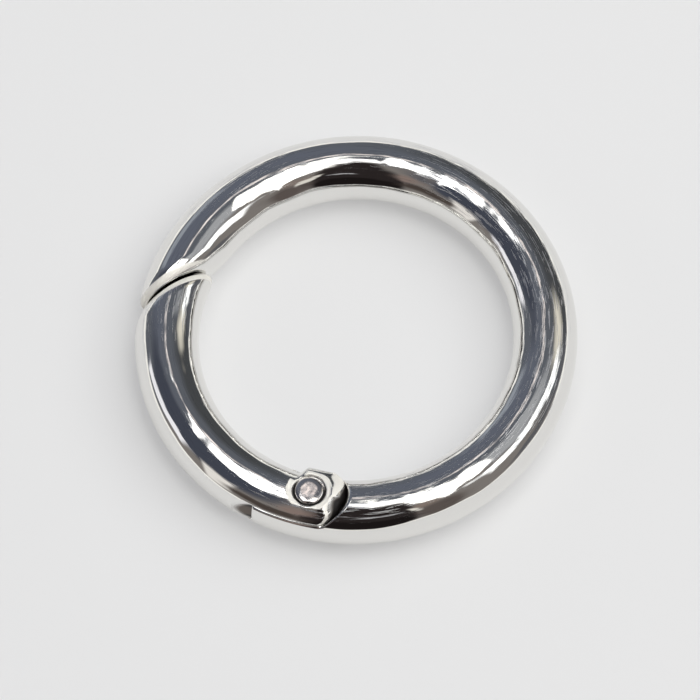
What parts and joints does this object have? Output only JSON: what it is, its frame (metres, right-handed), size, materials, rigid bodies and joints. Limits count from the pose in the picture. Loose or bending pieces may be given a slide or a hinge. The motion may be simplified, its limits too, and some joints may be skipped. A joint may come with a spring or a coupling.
{
  "type": "spring gate ring",
  "caption": "Round bar ring with a sprung gate that swings inwards on a riveted hinge, used to clip straps, cords and tags together.",
  "frame": {"origin": "centre of the closed ring, at half the thickness of the bar", "axes": "+Z along the ring's axis, square to the plane it lies in; +X and +Y in that plane, with the hinge near -Y and the gate on the -X side"},
  "size_m": [0.0352, 0.0352, 0.005],
  "materials": {
    "bright_plate": "polished",
    "rivet_plate": "gloss",
    "spring_steel": "satin"
  },
  "bodies": {
    "ring": {"ring_body": "bright_plate", "torsion_spring": "spring_steel"},
    "swing_gate": {"gate": "bright_plate", "hinge_rivet": "rivet_plate"}
  },
  "joints": [
    {"name": "gate_hinge", "type": "hinge", "parent": "ring", "child": "swing_gate", "pos_m": [-0.00366, -0.01413, 0], "axis": [0, 0, -1], "range_deg": [0, 35], "stiffness_Nm_per_rad": 0.0187, "springref_deg": -89.95, "deforming": ["torsion_spring"]}
  ]
}
